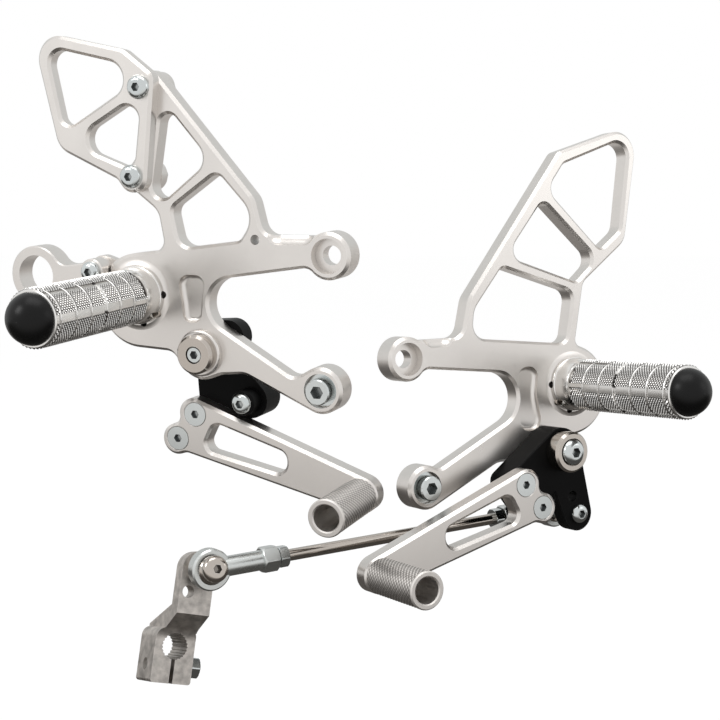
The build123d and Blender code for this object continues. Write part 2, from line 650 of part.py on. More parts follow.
shift_collar -= pin(shift_pivot, collar_top - collar_recess, collar_top + 1, screw_m8_dome[1] + 0.5)
shift_pivot_screw = Pos(shift_pivot[0], shift_pivot[1], collar_top - collar_recess) * button_screw(
    screw_m8_dome, collar_top - collar_recess + plate_thick)
shift_lever, shift_toe_peg, shift_toe_screw, shift_lever_screws = lever_set(
    False, shift_toe, shift_front, shift_crank_thick)


def rod_end():
    """A rod end with its eye at the origin, the eye's axis along z and its thread along +x."""
    body = pin((0, 0), -eye_width / 2, eye_width / 2, eye_radius)
    body = chamfer(body.edges().filter_by(GeomType.CIRCLE), 0.8)
    along = Rot(0, 90, 0)
    neck_length = eye_to_end - eye_radius * 0.6
    body += Pos(eye_radius * 0.6 + neck_length / 2, 0, 0) * along * Cylinder(eye_neck, neck_length)
    hexagon = extrude(RegularPolygon(eye_hex / 2, 6, major_radius=False), eye_hex_length)
    crown = Cylinder(eye_hex * 0.57, eye_hex_length, align=(Align.CENTER, Align.CENTER, Align.MIN))
    hexagon = hexagon & chamfer(crown.edges().filter_by(GeomType.CIRCLE), eye_hex_chamfer)
    body += Pos(eye_to_end - eye_hex_length, 0, 0) * along * hexagon
    body -= Sphere(ball_radius + run_fit)
    return body - Pos(eye_to_end - rod_thread / 2 + 0.5, 0, 0) * along * Cylinder(
        rod_radius + screw_fit, rod_thread + 1)


def rod_ball():
    """The ball in a rod end, with flat faces and a screw hole along z."""
    body = Sphere(ball_radius) & Cylinder(ball_radius, ball_width)
    return body - Cylinder(screw_m6[0] + screw_fit, ball_width + 1)


# Shift rod behind the crank, with a rod end and a jam nut at each end.
rod_z = shift_back - rod_gap - ball_width / 2
rod_line = Pos(rod_at[0], rod_at[1], rod_z) * Rot(0, 0, 180 + rod_slope)
far_eye = rod_line * Pos(rod_span, 0, 0)
crank_rod_end = rod_line * rod_end()
clamp_rod_end = far_eye * Rot(0, 0, 180) * rod_end()
rod_start = eye_to_end - rod_thread + 0.5
shift_rod = rod_line * Pos(rod_span / 2, 0, 0) * Rot(0, 90, 0) * Cylinder(
    rod_radius, rod_span - 2 * rod_start)
jam_nuts = []
for start in (eye_to_end + jam_nut_gap, rod_span - eye_to_end - jam_nut_gap - jam_nut_height):
    nut = hex_nut(jam_nut, jam_nut_height, rod_radius + screw_fit)
    jam_nuts.append(rod_line * Pos(start, 0, 0) * Rot(0, 90, 0) * nut)
crank_ball = rod_line * rod_ball()
rod_front = rod_z + ball_width / 2
crank_spacer = pin(rod_at, rod_front, lug_back, rod_spacer)
crank_spacer -= pin(rod_at, rod_front - 1, lug_back + 1, screw_m6[0] + screw_fit)
at_rod = Pos(rod_at[0], rod_at[1], 0)
rod_back = rod_z - ball_width / 2
crank_rod_screw = at_rod * Pos(0, 0, shift_front) * button_screw(
    screw_m6, shift_front - rod_back + nut_height)
crank_rod_nut = at_rod * Pos(0, 0, rod_back - nut_height) * hex_nut(
    nut_m6, nut_height, screw_m6[0] + screw_fit)

# Spindle clamp: a cranked arm on the far rod end, with a splined and slit block for the spindle.
at_clamp = far_eye * Rot(0, 0, -180 - rod_slope) * Rot(-clamp_tilt, 0, 0) * Rot(0, 0, clamp_roll)
arm_face = -ball_width / 2 - clamp_stand_off
block_face = arm_face - clamp_step
block_back = block_face - clamp_block_depth
side = Wire.make_polygon([(arm_face, clamp_arm_width / 2), (arm_face, clamp_arm_foot),
                          (block_face, clamp_block_top),
                          (block_face, clamp_block_foot), (block_back, clamp_block_foot),
                          (block_back, clamp_block_top + 3), (arm_face - clamp_arm_thick, clamp_arm_foot + 4),
                          (arm_face - clamp_arm_thick, clamp_arm_width / 2)])
side_face = Plane(origin=(0, 0, 0), x_dir=(0, 0, 1), z_dir=(-1, 0, 0)) * Face(side)
clamp_body = extrude(side_face, amount=60, both=True)
ramp_foot = clamp_body.edges().filter_by(Axis.X).sort_by_distance((0, clamp_block_top, block_face))[0]
clamp_body = fillet(ramp_foot, clamp_cove)
arm_front = Pos(clamp_arm_x, 0) * Circle(clamp_arm_width / 2)
arm_front += Pos(clamp_arm_x, clamp_block_top / 2) * Rectangle(clamp_arm_width, -clamp_block_top)
block_left = clamp_block_x - clamp_block_width / 2
block_right = clamp_block_x + clamp_block_width / 2
arm_front += rounded([(block_left, clamp_block_foot, 1.5), (block_right, clamp_block_foot, 1.5),
                      (block_right, clamp_block_top + 2, clamp_shoulder),
                      (block_left, clamp_block_top + 2, clamp_shoulder)])
clamp_body = clamp_body & extrude(arm_front, amount=block_back * 1.2)
clamp_body += pin((0, 0), arm_face, -ball_width / 2, clamp_neck)
clamp_body -= pin((0, 0), arm_face - clamp_arm_thick - 1, 0, screw_m6[0] + screw_fit)
clamp_body -= pin((clamp_arm_x - 4.0, -11.5), arm_face - clamp_arm_thick - 1, arm_face + 1,
                  screw_m6[0] + screw_fit)
clamp_body -= pin(spindle_at, block_back - 1, block_face + 1, spindle_bore / 2)
for tooth in range(spline_teeth):
    place = round_about(spindle_at, spindle_bore / 2, 360 / spline_teeth * tooth)
    clamp_body -= pin(place, block_back - 1, block_face + 1, spline_depth)
slit_length = spindle_at[1] - clamp_block_foot + 1
clamp_body -= Pos(spindle_at[0], spindle_at[1] - slit_length / 2, (block_face + block_back) / 2) * Box(
    clamp_slit, slit_length, clamp_block_depth + 2)
pinch_y = spindle_at[1] - pinch_below
pinch_at = Pos(clamp_block_x + clamp_block_width / 2, pinch_y, (block_face + block_back) / 2) * Rot(0, 90, 0)
pinch_length = clamp_block_width - 3
clamp_body -= pinch_at * pin((0, 0), -clamp_block_width - 1, 1, screw_m6[0] + screw_fit)
spindle_clamp = at_clamp * clamp_body
pinch_bolt = hex_nut(nut_m6, pinch_head, 0.5) + pin((0, 0), 0, pinch_head - 0.4, 2)
pinch_bolt = at_clamp * pinch_at * (pinch_bolt + pin((0, 0), -pinch_length, 0, screw_m6[0]))
clamp_ball = at_clamp * rod_ball()
clamp_screw = Pos(0, 0, ball_width / 2 + clamp_screw_rise) * button_screw(
    (screw_m6[0], 6.6, 3.8, screw_m6[3]), ball_width + clamp_screw_rise + clamp_stand_off + clamp_arm_thick)
clamp_screw += pin((0, 0), ball_width / 2, ball_width / 2 + clamp_screw_rise, clamp_neck)
clamp_screw = at_clamp * clamp_screw

brake_footpeg, brake_cap, brake_peg_bolt, brake_dowel = peg_set(brake_peg, 0)
shift_footpeg, shift_cap, shift_peg_bolt, shift_dowel = peg_set(shift_peg, 180)
brake_lower_screw, brake_lower_washer = lower_mount(brake_lower)
shift_lower_screw, shift_lower_washer = lower_mount(shift_lower)

brake_pieces = {
    "brake_plate": brake_plate,
    "brake_heel_guard": brake_guard,
    "heel_guard_screws": guard_screws,
    "heel_guard_nuts": guard_nuts,
    "brake_footpeg": brake_footpeg,
    "brake_peg_cap": brake_cap,
    "brake_peg_bolt": brake_peg_bolt,
    "brake_peg_dowel": brake_dowel,
    "brake_pivot_pin": brake_pin,
    "brake_pivot_screw": brake_pin_screw,
    "brake_pivot_washer": brake_pin_washer,
    "brake_pivot_nut": brake_pin_nut,
    "brake_bush": brake_bush,
    "brake_crank": brake_crank,
    "brake_lever": brake_lever,
    "brake_lever_screws": brake_lever_screws,
    "brake_toe_peg": brake_toe_peg,
    "brake_toe_screw": brake_toe_screw,
    "clevis_spacer": clevis_spacer,
    "clevis_bush": clevis_bush,
    "clevis_screw": clevis_screw,
    "clevis_nut": clevis_nut,
    "brake_mount_screw": brake_lower_screw,
    "brake_mount_washer": brake_lower_washer,
    "hanger_ring": hanger,
    "hanger_screw": hanger_screw,
}
shift_pieces = {
    "shift_plate": shift_plate,
    "shift_footpeg": shift_footpeg,
    "shift_peg_cap": shift_cap,
    "shift_peg_bolt": shift_peg_bolt,
    "shift_peg_dowel": shift_dowel,
    "shift_pivot_sleeve": shift_sleeve,
    "shift_pivot_collar": shift_collar,
    "shift_pivot_screw": shift_pivot_screw,
    "shift_bush": shift_bush,
    "shift_crank": shift_crank,
    "shift_lever": shift_lever,
    "shift_lever_screws": shift_lever_screws,
    "shift_toe_peg": shift_toe_peg,
    "shift_toe_screw": shift_toe_screw,
    "crank_rod_end": crank_rod_end,
    "crank_rod_ball": crank_ball,
    "crank_rod_spacer": crank_spacer,
    "crank_rod_screw": crank_rod_screw,
    "crank_rod_nut": crank_rod_nut,
    "shift_rod": shift_rod,
    "rod_jam_nuts": jam_nuts,
    "clamp_rod_end": clamp_rod_end,
    "clamp_rod_ball": clamp_ball,
    "clamp_rod_screw": clamp_screw,
    "spindle_clamp": spindle_clamp,
    "clamp_pinch_bolt": pinch_bolt,
    "shift_mount_screw": shift_lower_screw,
    "shift_mount_washer": shift_lower_washer,
}

os.makedirs("parts", exist_ok=True)
brake_origin = facing(brake_turn, brake_lean) * counterbore_depth
shift_origin = brake_origin + Vector(shift_from_brake)
both = [(stand(brake_turn, brake_lean, brake_origin), brake_pieces),
        (stand(shift_turn, shift_lean, shift_origin), shift_pieces)]
for where, pieces in both:
    for name, piece in pieces.items():
        if isinstance(piece, list):
            piece = Compound(children=[where * one for one in piece])
        else:
            piece = where * piece
        export_step(piece, f"parts/{name}.step")
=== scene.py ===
"""Finishes, knurling and stage for a pair of rear sets footrests."""

import math

import bmesh
import bpy
from bpy.props import FloatProperty, FloatVectorProperty, IntProperty, PointerProperty
from mathutils import Matrix, Vector


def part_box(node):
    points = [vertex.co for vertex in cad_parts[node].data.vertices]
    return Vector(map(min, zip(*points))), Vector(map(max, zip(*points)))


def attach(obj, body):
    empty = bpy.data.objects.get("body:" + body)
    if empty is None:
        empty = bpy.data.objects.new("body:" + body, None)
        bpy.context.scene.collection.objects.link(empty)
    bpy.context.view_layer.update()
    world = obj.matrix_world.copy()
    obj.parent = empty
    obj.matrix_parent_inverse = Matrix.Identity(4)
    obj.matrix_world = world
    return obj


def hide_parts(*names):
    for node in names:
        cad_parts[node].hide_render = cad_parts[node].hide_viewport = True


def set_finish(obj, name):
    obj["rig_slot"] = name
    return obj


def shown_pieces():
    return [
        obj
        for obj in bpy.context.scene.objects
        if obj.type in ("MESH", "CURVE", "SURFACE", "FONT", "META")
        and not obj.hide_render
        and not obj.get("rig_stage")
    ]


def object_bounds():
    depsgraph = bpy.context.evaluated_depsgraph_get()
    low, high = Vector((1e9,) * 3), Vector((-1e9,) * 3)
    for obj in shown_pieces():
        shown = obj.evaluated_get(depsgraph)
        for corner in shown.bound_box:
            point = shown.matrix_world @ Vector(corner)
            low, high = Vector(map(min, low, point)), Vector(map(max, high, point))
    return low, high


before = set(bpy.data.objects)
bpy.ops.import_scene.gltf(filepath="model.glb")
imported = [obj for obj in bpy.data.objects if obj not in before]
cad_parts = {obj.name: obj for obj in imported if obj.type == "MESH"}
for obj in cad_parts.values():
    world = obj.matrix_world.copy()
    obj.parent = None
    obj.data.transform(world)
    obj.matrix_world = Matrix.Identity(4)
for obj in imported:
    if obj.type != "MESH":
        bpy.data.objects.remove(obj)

bl_info = {
    "name": "Rear sets footrest",
    "version": (1, 0, 0),
    "blender": (4, 5, 0),
    "location": "View3D > Sidebar > Footrest",
    "description": "Knurled pegs, metal finishes and a plain stage for a pair of rear sets",
    "category": "Object",
}

MM = 0.001
NEAR = 0.01 * MM

# Places along a plate's face, up it and out of it, in mm, and the turn of each foot peg's dowel in degrees
BRAKE_PEG_AT, SHIFT_PEG_AT = (-106, -21.5, 0.8), (107, -20.2, 0.8)
BRAKE_DOWEL_TURN, SHIFT_DOWEL_TURN = -38.6, 218.6
BRAKE_TOE_AT, SHIFT_TOE_AT = (13.8, -117.8, -0.8), (-35.8, -104.2, 25.1)

# Where the camera and the lamps stand, in metres, and each lamp's width and height
CAMERA_AT, CAMERA_LOOK = (0.01362, -0.65428, 0.02942), (0, 0.9925, -0.1219)
KEY_AT, FILL_AT, SIDE_LAMP = (-1.0, -0.58, 0.66), (1.15, -0.28, 0.36), (0.4, 0.5)
TOP_AT, TOP_LAMP = (0.0, -0.15, 1.1), (1.0, 0.7)

# Colours of the painted reflections, glowing sheets that only reflections see: towards the camera, under
# the set (painted shade for the undersides), behind it on the ground, and upright
PAINTED_REFLECTION_FRONT, PAINTED_REFLECTION_UNDER, PAINTED_REFLECTION_FAR = (0.97, 0.95, 0.93), (0.1, 0.094, 0.088), (0.62, 0.6, 0.58)
PAINTED_REFLECTION_BACK_LOW, PAINTED_REFLECTION_BACK_HIGH = (0.6, 0.6, 0.59), (0.76, 0.78, 0.78)

# Strength of the floor's own white, and its share of what a viewer sees
FLOOR_GLOW, FLOOR_SHARE = 1.09, 0.86

# Part of a piece's colour that is left where shade is painted into a deep recess
PAINTED_RECESS_DARKNESS = 0.25

# Sockets of a Mix node: its share, those for two colours and those for two heights
MIX_SHARE = 0
COLOUR_FIRST, COLOUR_SECOND, COLOUR_RESULT = 6, 7, 2
HEIGHT_FIRST, HEIGHT_SECOND, HEIGHT_RESULT = 2, 3, 0


def plate_place(turn, lean, origin):
    """Place of a plate's front face: its turn about the upright, its lean back and its origin, in mm."""
    turn, lean = math.radians(turn), math.radians(lean)
    out = Vector((-math.sin(turn) * math.cos(lean), -math.cos(turn) * math.cos(lean), math.sin(lean)))
    along = Vector((math.cos(turn), -math.sin(turn), 0))
    up = out.cross(along)
    place = Matrix((along, up, out)).transposed().to_4x4()
    place.translation = Vector(origin) * MM
    return place


BRAKE_PLATE = plate_place(22.3, -2.9, (-2.084, -5.082, -0.278))
SHIFT_PLATE = plate_place(-30.4, 4.2, (38.916, 40.518, -55.578))


def on_plate(plate, at):
    """A place on a plate, in mm along its face, up it and out of it."""
    return plate @ Matrix.Translation(Vector(at) * MM)


class PegSizes(bpy.types.PropertyGroup):
    """Sizes of the knurled pegs."""
    foot_radius: FloatProperty(
        name="Foot peg radius", description="Over the knurl's tips", default=0.0142, unit="LENGTH")
    foot_length: FloatProperty(
        name="Foot peg length", description="From its seat to its rim", default=0.091, unit="LENGTH")
    foot_flange: FloatProperty(
        name="Flange radius", description="Of the flange on the seat", default=0.0149, unit="LENGTH")
    foot_panels: IntProperty(
        name="Panel columns", description="Knurl panels round a foot peg", default=6)
    foot_bands: IntProperty(
        name="Panel rows", description="Knurl panels along a foot peg", default=6)
    toe_radius: FloatProperty(
        name="Toe peg radius", description="Over the knurl's tips", default=0.0093, unit="LENGTH")
    toe_length: FloatProperty(
        name="Toe peg length", description="From the lever to its rim", default=0.041, unit="LENGTH")
    tooth: FloatProperty(
        name="Foot peg tooth", description="Height of a foot peg's knurl", default=0.0007, unit="LENGTH")
    toe_tooth: FloatProperty(
        name="Toe peg tooth", description="Height of a toe peg's knurl", default=0.00035, unit="LENGTH")


class Finishes(bpy.types.PropertyGroup):
    """Colours of the metals and plastics."""
    plate: FloatVectorProperty(
        name="Plate", description="Satin anodised aluminium", default=(0.7, 0.67, 0.64),
        subtype="COLOR", min=0, max=1)
    peg: FloatVectorProperty(
        name="Peg", description="Bright knurled aluminium", default=(0.76, 0.75, 0.73),
        subtype="COLOR", min=0, max=1)
    cap: FloatVectorProperty(
        name="Cap", description="Black moulded plastic", default=(0.003, 0.003, 0.003),
        subtype="COLOR", min=0, max=1)
    crank: FloatVectorProperty(
        name="Crank", description="Black anodised aluminium", default=(0.004, 0.004, 0.004),
        subtype="COLOR", min=0, max=1)
    pin: FloatVectorProperty(
        name="Pin", description="Polished stainless steel", default=(0.47, 0.43, 0.39),
        subtype="COLOR", min=0, max=1)
    screw: FloatVectorProperty(
        name="Screw", description="Blue zinc plate", default=(0.57, 0.6, 0.6),
        subtype="COLOR", min=0, max=1)
    rod_end: FloatVectorProperty(
        name="Rod end", description="White zinc plate", default=(0.6, 0.62, 0.61),
        subtype="COLOR", min=0, max=1)
    clamp: FloatVectorProperty(
        name="Clamp", description="Raw machined steel", default=(0.5, 0.47, 0.44),
        subtype="COLOR", min=0, max=1)
    bush: FloatVectorProperty(
        name="Bush", description="Sintered bronze", default=(0.5, 0.34, 0.18),
        subtype="COLOR", min=0, max=1)


class StageSizes(bpy.types.PropertyGroup):
    """The camera, the lamps and the floor."""
    lens: FloatProperty(name="Lens", description="Focal length in mm", default=67.5)
    drop: FloatProperty(
        name="Floor drop", description="Floor below the lowest piece", default=0.06, unit="LENGTH")
    key: FloatProperty(name="Key lamp", description="Power of the lamp on the left", default=4.0)
    fill: FloatProperty(name="Fill lamp", description="Power of the lamp on the right", default=0.55)
    top: FloatProperty(name="Top lamp", description="Power of the lamp overhead", default=4.2)
    sky: FloatProperty(name="Sky", description="Strength of the even light", default=0.45)


def only(obj):
    """Selects one object and makes it active."""
    bpy.ops.object.select_all(action="DESELECT")
    obj.select_set(True)
    bpy.context.view_layer.objects.active = obj


def pick_faces(obj, wanted):
    """In edit mode, selects the faces that wanted(face) is true for."""
    bpy.ops.mesh.select_mode(type="FACE")
    bpy.ops.mesh.select_all(action="DESELECT")
    mesh = bmesh.from_edit_mesh(obj.data)
    for face in mesh.faces:
        face.select_set(wanted(face))
    mesh.select_flush(True)
    bmesh.update_edit_mesh(obj.data)


def turned(name, sides, profile):
    """A turned piece: a ring drawn through each (radius, height) of a profile, and closed on itself."""
    radius, height = profile[0]
    bpy.ops.object.select_all(action="DESELECT")
    bpy.ops.mesh.primitive_circle_add(vertices=sides, radius=radius, location=(0, 0, height))
    obj = bpy.context.object
    obj.name = obj.data.name = name
    bpy.ops.object.transform_apply(location=True, rotation=True, scale=True)
    bpy.ops.object.mode_set(mode="EDIT")
    bpy.ops.mesh.select_mode(type="EDGE")
    bpy.ops.mesh.select_all(action="SELECT")
    for wide, high in profile[1:] + profile[:1]:
        bpy.ops.mesh.extrude_region_move(TRANSFORM_OT_translate={"value": (0, 0, high - height)})
        if wide != radius:
            grow = wide / radius
            bpy.ops.transform.resize(value=(grow, grow, 1), center_override=(0, 0, high))
        radius, height = wide, high
    bpy.ops.mesh.select_all(action="SELECT")
    bpy.ops.mesh.remove_doubles(threshold=1e-6)
    bpy.ops.mesh.normals_make_consistent(inside=False)
    return obj


def radius_of(point):
    """How far a point is from a peg's axis."""
    return math.hypot(point.x, point.y)


def turn_of(point):
    """A point's turn round a peg's axis, in degrees."""
    return math.degrees(math.atan2(point.y, point.x))


def knurl(obj, on_panel, tooth):
    """In edit mode, turns the square faces of the panels into diamonds and raises a point on each."""
    pick_faces(obj, on_panel)
    before = len(bmesh.from_edit_mesh(obj.data).verts)
    bpy.ops.mesh.poke(offset=0)
    bpy.ops.mesh.select_mode(type="EDGE")
    bpy.ops.mesh.select_all(action="DESELECT")
    mesh = bmesh.from_edit_mesh(obj.data)
    mesh.verts.index_update()
    for edge in mesh.edges:
        whole = all(vert.index < before for vert in edge.verts)
        if whole and all(len(face.verts) == 3 for face in edge.link_faces):
            edge.select_set(True)
    bmesh.update_edit_mesh(obj.data)
    bpy.ops.mesh.dissolve_edges(use_verts=False, use_face_split=False)
    mesh = bmesh.from_edit_mesh(obj.data)
    mesh.verts.index_update()

    def diamond(face):
        return any(vert.index >= before for vert in face.verts)

    pick_faces(obj, diamond)
    bpy.ops.mesh.poke(offset=tooth)


def mark_painted_valley_shade(obj, gets_painted_valley_shade):
    """In object mode, gives each point a mask for painted shade: 1 at the bottom of the knurl or in a slot,
    where shade falls.
    """
    mask = obj.data.attributes.new("painted_valley_shade", "FLOAT", "POINT")
    mask.data.foreach_set("value", [float(gets_painted_valley_shade(vert.co)) for vert in obj.data.vertices])


def settle(obj, place, body, node, slot):
    """Puts a finished piece in its place, checks it against the node it stands for, and lets it ride."""
    bpy.ops.object.mode_set(mode="OBJECT")
    only(obj)
    bpy.ops.object.shade_smooth_by_angle(angle=math.radians(28))
    obj.matrix_world = place
    bpy.ops.object.transform_apply(location=True, rotation=True, scale=True)
    low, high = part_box(node)
    points = [vert.co for vert in obj.data.vertices]
    for axis in range(3):
        spread = min(p[axis] for p in points), max(p[axis] for p in points)
        if abs(spread[0] - low[axis]) > MM or abs(spread[1] - high[axis]) > MM:
            raise RuntimeError(f"{obj.name} is off {node} on axis {axis}: {spread} {low} {high}")
    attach(obj, body)
    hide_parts(node)
    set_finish(obj, slot)


def twin(obj, name):
    """A copy of a piece with its own mesh."""
    copy = obj.copy()
    copy.data = obj.data.copy()
    copy.name = copy.data.name = name
    bpy.context.scene.collection.objects.link(copy)
    return copy


class FOOTREST_OT_foot_pegs(bpy.types.Operator):
    """Models a knurled foot peg and puts one on each plate"""
    bl_idname = "footrest.foot_pegs"
    bl_label = "Foot pegs"

    def execute(self, context):
        sizes = context.scene.footrest_pegs
        rim, flange, end = sizes.foot_radius, sizes.foot_flange, sizes.foot_length
        root, floor = rim - sizes.tooth, rim - 0.95 * MM
        start, stop = 12.4 * MM, end - 4 * MM
        band = (stop - start) / sizes.foot_bands
        groove = 1.6 * MM
        # Squares along and round a panel, before they become diamonds
        rows, columns = 6, 7
        # The ring groove with slots, and each slot's depth, arc and arc of painted shade in degrees of a
        # quarter turn
        slotted, slot_depth, slot_arc, slot_shade = 3, 2 * MM, (60, 90), (54, 87)
        bolt_bore, hollow, hollow_floor = 4.1 * MM, 7 * MM, 14 * MM
        cap_bore, cap_floor = 10 * MM, end - 8 * MM
        profile = [(bolt_bore, 0), (flange - 0.3 * MM, 0), (flange, 0.3 * MM), (flange, 2.1 * MM),
                   (flange - 0.4 * MM, 2.5 * MM), (rim + 0.3 * MM, 4.2 * MM), (rim - 0.2 * MM, 7 * MM),
                   (rim - 0.3 * MM, start - groove)]
        panels = []
        for row in range(sizes.foot_bands + 1):
            middle = start + band * row
            flat = 0.4 if row == slotted else 0.2
            profile += [(floor + 0.15 * MM, middle - groove * 0.44), (floor, middle - groove * flat),
                        (floor, middle + groove * flat), (floor + 0.15 * MM, middle + groove * 0.44)]
            last = row == sizes.foot_bands
            low, high = middle + groove / 2, end - 0.8 * MM if last else middle + band - groove / 2
            steps = 1 if last else rows
            panels.append((low, high))
            profile += [(root, low + (high - low) * step / steps) for step in range(steps + 1)]
        profile += [(root, end - 0.6 * MM), (rim - 1.2 * MM, end), (cap_bore, end), (cap_bore, cap_floor),
                    (hollow, cap_floor), (hollow, hollow_floor), (bolt_bore, hollow_floor)]
        sides = sizes.foot_panels * columns
        peg = turned("brake_foot_peg", sides, profile)

        def beside_panel(place):
            return any(low - NEAR < place.z < high + NEAR for low, high in panels)

        def off_slots(place):
            return abs(place.z - start - band * slotted)

        def in_panel(face):
            place = face.calc_center_median()
            return root - 0.1 * MM <= radius_of(place) <= root + NEAR and beside_panel(place)

        def long_groove(face):
            column = int(turn_of(face.calc_center_median()) % 360 / (360 / sides))
            return in_panel(face) and column % columns == 0

        def arc_slot(face):
            place = face.calc_center_median()
            if off_slots(place) > groove * 0.3 or radius_of(place) < floor - 0.1 * MM:
                return False
            return slot_arc[0] < turn_of(place) % 90 < slot_arc[1]

        # Painted shade: the slots and the bottoms of the knurl are marked to be coloured dark, where shade
        # falls
        def gets_painted_valley_shade(place):
            if off_slots(place) < groove * 0.55:
                return slot_shade[0] < turn_of(place) % 90 < slot_shade[1]
            return floor + 0.05 * MM < radius_of(place) < root + 0.05 * MM and beside_panel(place)

        pick_faces(peg, long_groove)
        bpy.ops.mesh.extrude_region_shrink_fatten(
            TRANSFORM_OT_shrink_fatten={"value": floor - root, "use_even_offset": True})
        pick_faces(peg, arc_slot)
        bpy.ops.mesh.extrude_region_shrink_fatten(
            TRANSFORM_OT_shrink_fatten={"value": -slot_depth, "use_even_offset": True})
        knurl(peg, in_panel, sizes.tooth)
        bpy.ops.mesh.select_all(action="SELECT")
        half_column = 180 / sides
        bpy.ops.transform.rotate(
            value=math.radians(half_column), orient_axis="Z", center_override=(0, 0, 0))
        bpy.ops.object.mode_set(mode="OBJECT")
        mark_painted_valley_shade(peg, gets_painted_valley_shade)
        other = twin(peg, "shift_foot_peg")
        for piece, place, node, dowel in (
                (peg, on_plate(BRAKE_PLATE, BRAKE_PEG_AT), "brake_footpeg", BRAKE_DOWEL_TURN),
                (other, on_plate(SHIFT_PLATE, SHIFT_PEG_AT), "shift_footpeg", SHIFT_DOWEL_TURN)):
            self.cut_notch(piece, dowel, 2 * half_column, flange)
            settle(piece, place, "frame", node, "bright_aluminium")
        return {"FINISHED"}

    def cut_notch(self, piece, dowel, column, flange):
        """Sinks the place in the flange where the dowel stands."""
        notch_depth, notch_top = 2.6 * MM, 6 * MM
        only(piece)
        bpy.ops.object.mode_set(mode="EDIT")

        def by_dowel(face):
            place = face.calc_center_median()
            turn = (turn_of(place) - dowel + 180) % 360 - 180
            on_flange = 0.1 * MM < place.z < notch_top and radius_of(place) > 0.9 * flange
            return on_flange and abs(turn) < column

        pick_faces(piece, by_dowel)
        bpy.ops.mesh.extrude_region_shrink_fatten(
            TRANSFORM_OT_shrink_fatten={"value": -notch_depth, "use_even_offset": True})


class FOOTREST_OT_toe_pegs(bpy.types.Operator):
    """Models a knurled toe peg and puts one on each lever"""
    bl_idname = "footrest.toe_pegs"
    bl_label = "Toe pegs"

    def execute(self, context):
        sizes = context.scene.footrest_pegs
        rim, length, sides = sizes.toe_radius, sizes.toe_length, 48
        low, high, ridges = 0.6 * MM, length - 1.6 * MM, 32
        root, pitch = rim - sizes.toe_tooth, (high - low) / ridges
        sunk = root + 0.1 * MM
        screw_bore, hollow, hollow_floor = 3.05 * MM, 6.5 * MM, 8 * MM
        profile = [(screw_bore, 0), (root, 0)]
        for ridge in range(ridges):
            profile += [(root, low + pitch * ridge), (rim, low + pitch * (ridge + 0.5))]
        chamfer = 0.6 * MM
        profile += [(root, high), (rim, high + 0.3 * MM), (rim, length - chamfer), (rim - chamfer, length),
                    (hollow + chamfer, length), (hollow, length - chamfer), (hollow, hollow_floor),
                    (screw_bore, hollow_floor)]
        peg = turned("brake_toe_peg_knurled", sides, profile)
        bpy.ops.mesh.select_mode(type="VERT")
        bpy.ops.mesh.select_all(action="DESELECT")
        mesh = bmesh.from_edit_mesh(peg.data)
        for vert in mesh.verts:
            ridge = (vert.co.z - low) / pitch - 0.5
            column = round(turn_of(vert.co) / (360 / sides))
            on_ridge = radius_of(vert.co) > sunk and abs(ridge - round(ridge)) < 0.1
            vert.select_set(on_ridge and low < vert.co.z < high and (column + round(ridge)) % 2 == 0)
        mesh.select_flush(False)
        bmesh.update_edit_mesh(peg.data)
        shrink = sunk / rim
        bpy.ops.transform.resize(value=(shrink, shrink, 1), center_override=(0, 0, 0))
        bpy.ops.object.mode_set(mode="OBJECT")

        # Painted shade: the bottoms of the toe peg's knurl are marked to be coloured dark
        def gets_painted_valley_shade(place):
            return root - NEAR < radius_of(place) < root + 0.12 * MM and low < place.z < high

        mark_painted_valley_shade(peg, gets_painted_valley_shade)
        other = twin(peg, "shift_toe_peg_knurled")
        settle(peg, on_plate(BRAKE_PLATE, BRAKE_TOE_AT), "brake_pedal", "brake_toe_peg",
               "satin_aluminium")
        settle(other, on_plate(SHIFT_PLATE, SHIFT_TOE_AT), "shift_lever", "shift_toe_peg",
               "satin_aluminium")
        return {"FINISHED"}


def node_group(name, inputs, outputs):
    """A new shader node group with number inputs and outputs."""
    group = bpy.data.node_groups.new(name, "ShaderNodeTree")
    for label, value in inputs:
        socket = group.interface.new_socket(name=label, in_out="INPUT", socket_type="NodeSocketFloat")
        socket.default_value = value
    for label in outputs:
        group.interface.new_socket(name=label, in_out="OUTPUT", socket_type="NodeSocketFloat")
    return group, group.nodes.new("NodeGroupInput"), group.nodes.new("NodeGroupOutput")


def wire(tree, kind, values=None, links=None, **settings):
    """Adds a node, sets it and links its inputs."""
    node = tree.nodes.new(kind)
    for key, value in settings.items():
        setattr(node, key, value)
    for key, value in (values or {}).items():
        node.inputs[key].default_value = value
    for key, source in (links or {}).items():
        tree.links.new(source, node.inputs[key])
    return node


def mix_colours(tree, share, first, second):
    """Mixes two colours, each fixed or from a socket, by a share."""
    node = wire(tree, "ShaderNodeMix", data_type="RGBA")
    tree.links.new(share, node.inputs[MIX_SHARE])
    for place, colour in ((COLOUR_FIRST, first), (COLOUR_SECOND, second)):
        if isinstance(colour, tuple):
            node.inputs[place].default_value = colour + (1,)
        else:
            tree.links.new(colour, node.inputs[place])
    return node.outputs[COLOUR_RESULT]


def new_material(name):
    """An empty material, its node tree and its output node."""
    material = bpy.data.materials.new(name)
    material.use_nodes = True
    tree = material.node_tree
    tree.nodes.clear()
    return material, tree, tree.nodes.new("ShaderNodeOutputMaterial")


def grain_group():
    """Fine blasted grain: a height and a tone that change over the surface."""
    group, given, out = node_group("blasted_grain", [("Scale", 2600.0), ("Cloud scale", 45.0)],
                                   ["Height", "Cloud"])
    place = wire(group, "ShaderNodeTexCoord").outputs["Object"]
    fine = wire(group, "ShaderNodeTexNoise", {"Detail": 3.0, "Roughness": 0.6},
                {"Vector": place, "Scale": given.outputs["Scale"]})
    cloud = wire(group, "ShaderNodeTexNoise", {"Detail": 4.0, "Roughness": 0.55},
                 {"Vector": place, "Scale": given.outputs["Cloud scale"]})
    group.links.new(fine.outputs["Fac"], out.inputs["Height"])
    group.links.new(cloud.outputs["Fac"], out.inputs["Cloud"])
    return group


